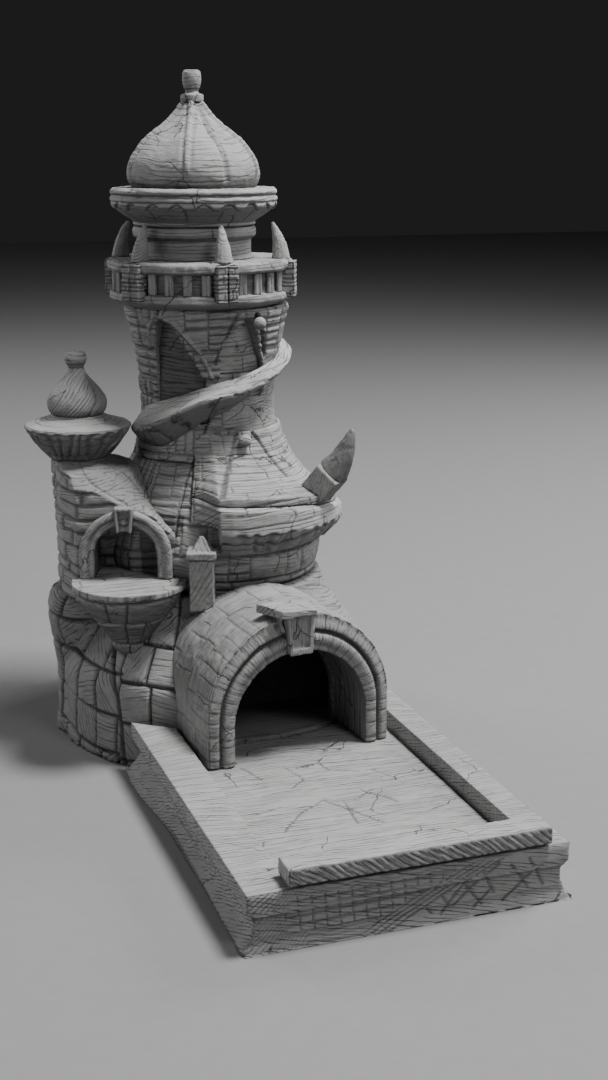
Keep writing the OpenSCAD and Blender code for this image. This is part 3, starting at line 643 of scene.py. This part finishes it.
def planked(seed, axis=None, spacing=3.6, depth=0.3, half=0.1, notch=0.15, extra=None):
    """Shape for boards with thin gaps. Round an axis they run level, otherwise along x. depth and half are
    the gap's, notch is how unevenly the boards lie."""

    def shape(p, n):
        if axis is None:
            u, v = p[:, 0], p[:, 1]
        else:
            az, r = around(p, axis)
            u, v = az * 34, p[:, 2] - r * 0.8
        v = v + noise(p, 15, seed) * 1.3
        row, across, _ = cells(v, spacing, seed + 1, np.zeros(len(p)))
        col, along, _ = cells(u + rnd(seed + 2, row) * 60, 34, seed + 3, row)
        own = rnd(seed + 4, row, col)
        gap = (1 - ramp(np.minimum(across, along), half, half + 0.4)) * ramp(noise(p, 10, seed + 6), -0.5, 0)
        move = -depth * gap + (1 - gap) * ((own - 0.5) * notch + 0.12 * rough(p, 3, seed + 5))
        grain, shade = grain_of(u, v, own * 3), 1 - gap * 0.65
        if extra is not None:
            return extra(p, n, move, grain, shade)
        return move, grain, shade

    return shape


def outward(n):
    """1 on surfaces that look up or forward."""
    return ramp(np.maximum(n[:, 2], -n[:, 1]), 0.0, 0.3)


def flank_bricks(p, az):
    """Joints of the blocks on the skirt's left flank, from 0 to 1."""
    joint, _, _, _ = masonry(az * 40, p[:, 2] + noise(p, 13, 108) * 0.5, 11, 8.5, 105, 0.7)
    return 1 - ramp(joint, 0.1, 0.5)


def roof_extra(p, n, move, grain, shade):
    """Two long grooves down the skirt's roof."""
    az, _ = around(p, SHAFT)
    deg = np.degrees(az)
    left = polar_groove(p, SHAFT, 30, SKIRT_LEFT, 0.45, 0.7)
    right = polar_groove(p, SHAFT, 30, SKIRT_RIGHT, 0.4, 0.6)
    cut = np.maximum(left, right) * ramp(n[:, 2], 0.0, 0.3)
    # Left of the left groove the roof sinks to the flank, which is masonry
    azimuths, heights = zip(*reversed(SKIRT_LEFT))
    beside = ramp(np.interp(p[:, 2], heights, azimuths) - deg, 0, 2) * outward(n)
    brick = flank_bricks(p, az)
    sink = 0.3 + 0.6 * ramp(deg, -14, -8)
    move = move * (1 - beside) - beside * (sink + 0.3 * brick - 0.15 * rough(p, 3, 107)) - 0.9 * cut
    return move, grain, np.where(beside > 0.5, 1 - 0.4 * brick, shade) * (1 - 0.65 * cut)


def band_extra(p, n, move, grain, shade):
    """Worn corbels hang under the band's lower edge; its left flank is masonry. The rest gets painted light.
    """
    az, r = around(p, SHAFT)
    deg = np.degrees(az)
    low = ramp(-n[:, 2], 0.1, 0.5) * ramp(r, 43.5, 45) * ramp(deg, -10, -6)
    tooth = abs((deg + 2.5 * noise(p, 7, 112)) / 7.5 % 1 - 0.5) * 2
    cut = low * (1 - ramp(tooth, 0.15, 0.75)) * ramp(noise(p, 9, 113), -0.9, 0.2)
    crack = polar_groove(p, SHAFT, 48, BAND_CRACK, 0.1, 0.45)
    beside = ramp(-11 - deg, 0, 1.5) * ramp(r - 30, 0, 2)
    brick = flank_bricks(p, az)
    move = move * (1 - beside) - beside * (0.1 + 0.3 * brick) + 0.3 * low - 0.75 * cut - 0.4 * crack
    # Painted light: away from its masonry flank, the band is made a quarter paler
    shade = np.where(beside > 0.5, 1 - 0.4 * brick, 1.25 * shade * (1 - 0.4 * cut))
    return move, grain, shade * (1 - 0.6 * crack)


def ledge_extra(p, n, move, grain, shade):
    """The winding ledge's edge is nibbled, with a few small holes, and its top gets painted light."""
    az, r = around(p, SHAFT)
    deg = np.degrees(az)
    grain = grain_of(az * 30, p[:, 2] - az * 11 - r, r)
    edge = ramp(r, 31.5, 33.5) * ramp(deg, -8, 2) * ramp(34 - deg, 0, 8)
    bite = edge * ramp(noise(p, 2.6, 125), 0.0, 0.5)
    crack = polar_groove(p, SHAFT, 33, LEDGE_CRACK, 0.12, 0.5)
    # Painted light: faces that look up are paler
    painted_light_top = 1 + 0.2 * ramp(n[:, 2], 0.3, 0.7)
    return move - bite - 0.5 * crack, grain, shade * (1 - 0.6 * bite) * (1 - 0.7 * crack) * painted_light_top


def window_extra(p, n, move, grain, shade):
    """The left window's planks get painted shade, for the shadow in their recess."""
    return move, grain, shade * 0.25


carve("skirt_roof", 0.45, planked(101, SHAFT, 3.7, extra=roof_extra), PLANK)
carve("skirt_band", 0.48, planked(111, SHAFT, 4.6, depth=0.2, extra=band_extra), PLANK)
carve("spiral_ledge", 0.4, planked(121, SHAFT, 4.4, depth=0.12, extra=ledge_extra), PLANK)
carve("niche_ledge", 0.42, planked(131, None, 4.5, depth=0.2), PLANK)
carve("window_left", 0.3, planked(141, SHAFT, 4.6, depth=0.25, extra=window_extra), PLANK)
carve("window_right", 0.3, planked(151, SHAFT, 4.4, depth=0.2), PLANK)
carve("doorway_lintel", 0.34, plain(161, 0.15, (1, 0, -0.27)), PLANK)


# ---- tray --------------------------------------------------------------------------------------------
TRAY = np.array(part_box("tray_frame")[0]) * MM  # its front left corner: x, y in here are from there
STAR = [(28, 48), (36, 58), (47, 66), (56, 62), (66, 69)]
TIMBER_CRACKS = [
    STAR, [(47, 66), (60, 44)], [(53, 64), (52, 46)], [(62, 70), (70, 57)], [(41, 78), (47, 84), (44, 96)],
    [(70, 112), (56, 98), (58, 88), (67, 84)], [(30, 100), (34, 88)], [(72, 84), (78, 70)],
    [(20, 62), (33, 66)], [(14, 30), (20, 44)], [(79, 60), (84, 66), (93, 62)],
]
# Crossing scratches on the front face, as x and height
SCRATCHES = [
    [(48, 3), (58, 8), (64, 13)], [(52, 9), (57, 3)], [(58, 11), (63, 4)], [(64, 4), (78, 15)],
    [(66, 12), (73, 3)], [(72, 15), (77, 6)], [(80, 3), (92, 12)], [(82, 14), (88, 6)],
    [(88, 15), (93, 6)], [(70, 2), (76, 7)], [(60, 2), (69, 12)],
]


def nearest_line(x, y, lines):
    """Distance to the nearest of the lines."""
    return np.min([to_line(x, y, line) for line in lines], axis=0)


def tray_top(p):
    """Long thin cracks on the tray's top."""
    x, y = p[:, 0] - TRAY[0], p[:, 1] - TRAY[1]
    near = nearest_line(x + noise(p, 5, 175) * 0.7, y + noise(p, 5, 176) * 0.7, TIMBER_CRACKS)
    return groove(near, 0.16, 0.4) * ramp(noise(p, 12, 177), -0.6, 0.0)


def floor_shape(p, n):
    """Shape for the tray's floor. Its rear edge moves towards the drum."""
    up = ramp(n[:, 2], 0.5, 0.9)
    cut = tray_top(p) * up
    line = wavy_line(p) * up
    move = 0.1 * rough(p, 5, 173) - 0.45 * cut - 0.14 * line + 0.9 * ramp(n[:, 1], 0.5, 0.8)
    # Painted light: paler at the rear, where the floor runs in under the porch
    painted_light_rear = 1 + 0.35 * ramp(p[:, 1], -82, -70)
    return move, grain_of(p[:, 0], wavy_rows(p), p[:, 2]), (1 - 0.8 * cut) * (1 - 0.5 * line) * painted_light_rear


def front_lines(p, x, z):
    """Carving on the tray's front: curved grain on the left, a lattice, a rising band of boards, then
    crossing scratches. steps is the height over the band's upper edge."""
    steps = z - (x - 38) * 0.47 - 2.5
    in_lattice = ramp(x + noise(p, 3, 186), 13, 14) * ramp(steps, 0, 0.3)
    in_lattice = in_lattice * ramp(z, 4.2, 4.6) * ramp(15.6 - z, 0, 0.4)
    in_boards = ramp(x, 34, 38) * ramp(steps, -5.8, -5.4) * ramp(0.2 - steps, 0.0, 0.3) * (z < 17)
    beyond = ramp(x, 46, 50) * ramp(-5.6 - steps, 0, 0.3)
    lattice = np.minimum(to_rows(x + z * 0.12, 4), to_rows(z - x * 0.02, 2.5))
    flow = z + 7 * np.exp(-((x - 2) / 10) ** 2) + noise(p, 8, 181) * 1.2 - 0.55 * x * (x < 20)
    rest = (1 - in_lattice) * (1 - in_boards) * (1 - beyond)
    return np.max([
        in_lattice * groove(lattice, 0.14, 0.28),
        in_boards * (1 - in_lattice) * groove(to_rows(steps, 1.5), 0.12, 0.26),
        beyond * (1 - in_boards) * groove(nearest_line(x, z, SCRATCHES), 0.2, 0.35),
        0.6 * rest * groove(to_rows(flow, 1.5), 0.12, 0.35),
    ], axis=0)


def frame_shape(p, n):
    """Shape for the tray's frame: timber grain and cracks on top, carved sides, and a foot that swells."""
    x, y, z = p[:, 0] - TRAY[0], p[:, 1] - TRAY[1], p[:, 2]
    up = ramp(n[:, 2], 0.5, 0.9)
    side = ramp(abs(n[:, 0]), 0.5, 0.9)
    front_cut = ramp(-n[:, 1], 0.5, 0.9) * (y < 8) * front_lines(p, x, z)
    # Flanks: slanting hatches; the right rail's inner wall is fluted
    hatch = to_rows(y * 0.8 + z * 1.5 + noise(p, 7, 182) * 2.4, 2.0)
    inner = (x > 60) & (n[:, 0] < 0)
    flute = to_rows(y + noise(p, 5, 183) * 0.6, 2.6)
    side_cut = side * np.where(inner, 0.35 * groove(flute, 0.2, 0.5), 0.7 * groove(hatch, 0.14, 0.35))
    top_line = wavy_line(p) * up
    cut = tray_top(p) * up
    move = 0.12 * rough(p, 4, 184) - 0.6 * front_cut - 0.4 * side_cut - 0.45 * cut - 0.14 * top_line
    # The foot swells and draws in along the flanks
    swell = ramp(7 - z, 0, 4) * side * (z > 0.2) * np.where(x < 50, 1, 0.6)
    wave = np.interp(y, [0, 20, 55, 80, 95, 112, 125, 137], [0.6, 0.2, -0.8, -1.4, 0.6, 2.4, 2.6, 1.6])
    move = n * move[:, None]
    move[:, 0] += np.sign(n[:, 0]) * swell * wave * np.where(inner, 0, 1)
    # The front is nearly flat, with only a trace of the flanks' cove
    flatten = np.interp(z, [0, 1.2, 3, 5, 8, 11.3, 12.2], [-0.9, -0.7, 0.2, 1.2, 1.3, 1.3, 0])
    move[:, 1] -= (n[:, 1] < -0.3) * (y < 6) * flatten
    shade = (1 - 0.6 * front_cut) * (1 - 0.45 * side_cut) * (1 - 0.8 * cut) * (1 - 0.5 * top_line)
    along = np.where(side > 0.5, y, p[:, 0])
    across = np.where(up > 0.5, wavy_rows(p), z * 1.3 + np.where(side > 0.5, 0.5 * y, 0.3 * x))
    return move, grain_of(along, across, z), shade


def sill_shape(p, n):
    """Shape for the plank at the tray's front, with slanting cuts and a ragged upper edge."""
    x, z = p[:, 0] - TRAY[0], p[:, 2]
    face = ramp(-n[:, 1], 0.5, 0.9)
    slant = to_rows(x * 0.8 + z * 1.1 + noise(p, 9, 191) * 2.6, 2.3)
    line = face * groove(slant, 0.14, 0.4)
    ragged = ramp(n[:, 2] - n[:, 1], 0.9, 1.3) * rough(p, 3, 192) * 0.35
    move = 0.14 * rough(p, 3, 193) - 0.4 * line + ragged
    return move, grain_of(p[:, 0], wavy_rows(p) * (1 - face) + face * (z + 0.8 * x), z), 1 - 0.5 * line


carve("tray_floor", 1.1, floor_shape, TIMBER, fine=lambda p, n: n[:, 2] > 0.5)
carve("tray_frame", 0.95, frame_shape, TIMBER, fine=lambda p, n: (n[:, 2] > -0.5) & (p[:, 2] > 0.4))
carve("tray_front_sill", 0.42, sill_shape, TIMBER)


# ---- gallery, neck, lid and turret -------------------------------------------------------------------
# Azimuths on the dome and the onion
RIDGES = (-82, -21, 50, 122, 194)
CREASES = (14, 86, 158)


def nearest(deg, wanted):
    """Angle to the nearest of the wanted azimuths, in degrees."""
    return np.min([abs((deg - a + 180) % 360 - 180) for a in wanted], axis=0)


def dome_extra(p, n, move, grain, shade):
    """Beaded ridges and soft creases, with flat panels between."""
    az, r = around(p, NECK)
    low, high = (c[2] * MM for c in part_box("lid_dome"))
    t = (p[:, 2] - low) / (high - low)
    ridge_mm = np.radians(nearest(np.degrees(az), RIDGES)) * r
    crease_mm = np.radians(nearest(np.degrees(az), CREASES)) * r
    out = ramp(r, 2.5, 5) * (p[:, 2] > low + 5.5)
    bead = (1 - ramp(ridge_mm, 0.45, 1.1)) * ramp(t, 0.24, 0.36)
    beside = (1 - ramp(abs(ridge_mm - 1.7), 0.1, 0.9)) * ramp(t, 0.3, 0.5)
    valley = (1 - ramp(crease_mm, 0.1, 1.9)) * ramp(t, 0.14, 0.26)
    flat = ramp(t, 0.12, 0.4) * ramp(0.98 - t, 0, 0.3) * ramp(ridge_mm, 1, 0.45 * r + 1.5)
    line = groove(to_rows(p[:, 2] + noise(p, 12, 221) * 1.6, 4.6), 0.04, 0.3)
    line = line * ramp(noise(p, 8, 222), -0.2, 0.3)
    move = move + out * (0.75 * bead - 0.7 * valley - 0.25 * line - 0.25 * beside - 1.1 * flat)
    shade = shade * (1 - out * (0.3 * valley + 0.4 * line * (1 - bead) + 0.15 * beside))
    return move, grain_of(az * r, p[:, 2] + noise(p, 9, 223), r), shade


def bowl_extra(p, n, move, grain, shade):
    """Frieze under the rim: hanging scallops and shallow pilasters."""
    az, r = around(p, NECK)
    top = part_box("lid_bowl")[1][2] * MM
    turn = np.degrees(az) / 18
    down = top - p[:, 2]
    drip = 1.5 + 1.1 * np.cos(2 * np.pi * turn) + 0.4 * noise(p, 3, 231)
    side = ramp(r, 22.6, 23.6)
    proud = side * ramp(drip - down, -0.3, 0.4)
    edge = side * groove(abs(down - drip), 0.15, 0.4)
    post = side * groove(abs((turn / 1.5 + 0.3) % 1 - 0.5) * 27, 0.5, 0.6) * ramp(down, 2, 3)
    return move + 0.7 * proud - 0.45 * edge - 0.5 * post, grain, shade * (1 - 0.6 * edge) * (1 - 0.5 * post)


def eave_extra(p, n, move, grain, shade):
    """Ribs under the turret's eave, and a stippled top with painted light."""
    az, r = around(p, TURRET)
    under = ramp(-n[:, 2], -0.1, 0.4) * ramp(r, 11, 13)
    rib = abs((np.degrees(az) + 8 * noise(p, 6, 241)) / 15 % 1 - 0.5) * 2
    cut = under * (1 - ramp(rib, 0.2, 0.7))
    top = ramp(n[:, 2], 0.3, 0.7)
    rim = ramp(r, 17, 18.6) * rough(p, 3, 242) * 0.3
    move = move - 0.7 * cut + top * 0.12 * noise(p, 0.9, 243) + rim
    # Painted light: the top is a quarter paler
    return move, grain_of(az * 6, r, p[:, 2]), shade * (1 - 0.35 * cut) * (1 + 0.25 * top)


def onion_extra(p, n, move, grain, shade):
    """Swirled grooves round the turret's onion, which gets painted light."""
    az, r = around(p, TURRET)
    up = p[:, 2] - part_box("turret_dome")[0][2] * MM
    swirl = az * r - up * 0.9
    fine = groove(to_rows(swirl, 1.5), 0.1, 0.4) * ramp(r, 3.5, 5)
    crease = nearest(np.degrees(az) - 2.4 * up, CREASES)
    valley = (1 - ramp(np.radians(crease) * r, 0.1, 0.8)) * ramp(r, 3.2, 4.5)
    move = move - 0.22 * fine * ramp(noise(p, 4, 251), -0.6, 0) - 0.55 * valley
    # Painted light: the onion is a fifth paler
    shade = 1.2 * shade * (1 - 0.3 * fine) * (1 - 0.4 * valley)
    return move, grain_of(az * r * 0.4 + p[:, 2] * 0.9, swirl, r), shade


def ring_extra(p, n, move, grain, shade):
    """Radial planks on the slab, a worn rim, and painted shade on the wall behind the balusters."""
    az, r = around(p, (0, 0))
    up = ramp(n[:, 2], 0.5, 0.9)
    plank = groove(to_rows(az * 30 + noise(p, 9, 261), 9), 0.06, 0.4) * up
    edge = ramp(r, 32, 33.5) * 0.35 * rough(p, 4, 262)
    behind = ramp(facing_out(p, n, np.zeros(3)), 0.3, 0.7) * ramp(31.2 - r, 0, 0.5)
    return move - 0.25 * plank + edge, grain, shade * (1 - 0.5 * plank) * (1 - 0.5 * behind)


def horn_extra(p, n, move, grain, shade):
    """The horn gets painted shade: its colour is darker throughout."""
    return move, grain, shade * 0.6


carve("gallery_ring", 0.45, plain(201, 0.12, axis=(0, 0), extra=ring_extra), STONE)
carve("gallery_posts", 0.34, chunk(202, length=6.0, height=1.7, width=0.3, depth=0.3, amount=0.1), STONE)
carve("gallery_claws", 0.3, plain(203, 0.14, axis=(0, 0)), HORN)
carve("gallery_balusters", 0.24, plain(204, 0.05, (0, 0, 1)), STONE)
carve("neck_collar", 0.42, plain(205, 0.12, axis=NECK), STONE)
carve("lid_bowl", 0.4, plain(206, 0.12, axis=NECK, extra=bowl_extra), DOME)
carve("lid_rim", 0.36, plain(207, 0.14, axis=NECK), DOME)
carve("lid_dome", 0.42, plain(208, 0.12, axis=NECK, extra=dome_extra), DOME)
carve("lid_finial", 0.28, plain(209, 0.06, axis=NECK), DOME)
carve("turret_eave", 0.36, plain(210, 0.1, axis=TURRET, extra=eave_extra), DOME)
carve("turret_dome", 0.32, plain(211, 0.1, axis=TURRET, extra=onion_extra), DOME)
carve("turret_finial", 0.26, plain(212, 0.05, axis=TURRET), DOME)
carve("horn", 0.32, plain(213, 0.16, (0.2, -0.2, 1), extra=horn_extra), HORN)
carve("shutter_knobs", 0.26, plain(214, 0.05), HORN)

# The pieces inside the tower keep their CAD shape
for node in ("exit_ramp", "baffle_lower", "baffle_middle", "baffle_upper"):
    materials = frame["nodes"][node].data.materials
    materials.clear()
    materials.append(INSIDE)


# ---- floor, light and camera -------------------------------------------------------------------------
FLOOR_HALF = 3.0  # metres, like everything below
EYE = (-0.1517, -0.5398, 0.2163)
YAW, PITCH = math.radians(19.6), math.radians(14.7)  # to the right and down


def add(name, data):
    """New object in the scene."""
    made = bpy.data.objects.new(name, data)
    bpy.context.scene.collection.objects.link(made)
    return made


def floor_material():
    """Plain pale paper with a faint speckle."""
    material = bpy.data.materials.new("floor_paper")
    material.use_nodes = True
    tree = material.node_tree
    surface = tree.nodes["Principled BSDF"]
    speck = tree.nodes.new("ShaderNodeTexNoise")
    speck.inputs["Scale"].default_value = 900
    grey = tree.nodes.new("ShaderNodeMapRange")
    grey.inputs["To Min"].default_value = 0.30
    grey.inputs["To Max"].default_value = 0.33
    colour = tree.nodes.new("ShaderNodeCombineColor")
    tree.links.new(speck.outputs["Fac"], grey.inputs["Value"])
    for channel in colour.inputs[:3]:
        tree.links.new(grey.outputs["Result"], channel)
    tree.links.new(colour.outputs[0], surface.inputs["Base Color"])
    surface.inputs["Roughness"].default_value = 0.85
    return material


sheet = bpy.data.meshes.new("floor")
corners = [(x * FLOOR_HALF, y * FLOOR_HALF, 0) for x, y in ((-1, -1), (1, -1), (1, 1), (-1, 1))]
sheet.from_pydata(corners, [], [(0, 1, 2, 3)])
sheet.materials.append(floor_material())
add("floor", sheet)

world = bpy.data.worlds.new("studio")
world.use_nodes = True
world.node_tree.nodes["Background"].inputs["Color"].default_value = (1, 1, 1, 1)
world.node_tree.nodes["Background"].inputs["Strength"].default_value = 0.015
bpy.context.scene.world = world


def softbox(name, place, aim, size, power):
    """Square lamp of that size, turned towards aim, with its power in watts."""
    light = bpy.data.lights.new(name, "AREA")
    light.size = size
    light.energy = power
    made = add(name, light)
    made.location = place
    made.rotation_euler = (Vector(aim) - Vector(place)).to_track_quat("-Z", "Y").to_euler()


softbox("key", (0.36, -0.2, 1.07), (0, -0.06, 0.1), 0.26, 15)
softbox("front", (0.3, -0.9, 0.85), (0, -0.06, 0.08), 0.3, 1.8)
softbox("left", (-1.15, -0.3, 0.45), (0, 0, 0.12), 0.5, 1.2)
softbox("right", (0.95, 0.2, 0.6), (0, 0, 0.12), 0.4, 5)
softbox("rim", (-0.7, 0.9, 0.6), (0, 0, 0.12), 0.4, 4)

camera = bpy.data.cameras.new("camera")
camera.lens = 50
camera.sensor_width = 36
eye = add("camera", camera)
eye.location = EYE
look = Vector((math.sin(YAW) * math.cos(PITCH), math.cos(YAW) * math.cos(PITCH), -math.sin(PITCH)))
eye.rotation_euler = look.to_track_quat("-Z", "Y").to_euler()
bpy.context.scene.camera = eye
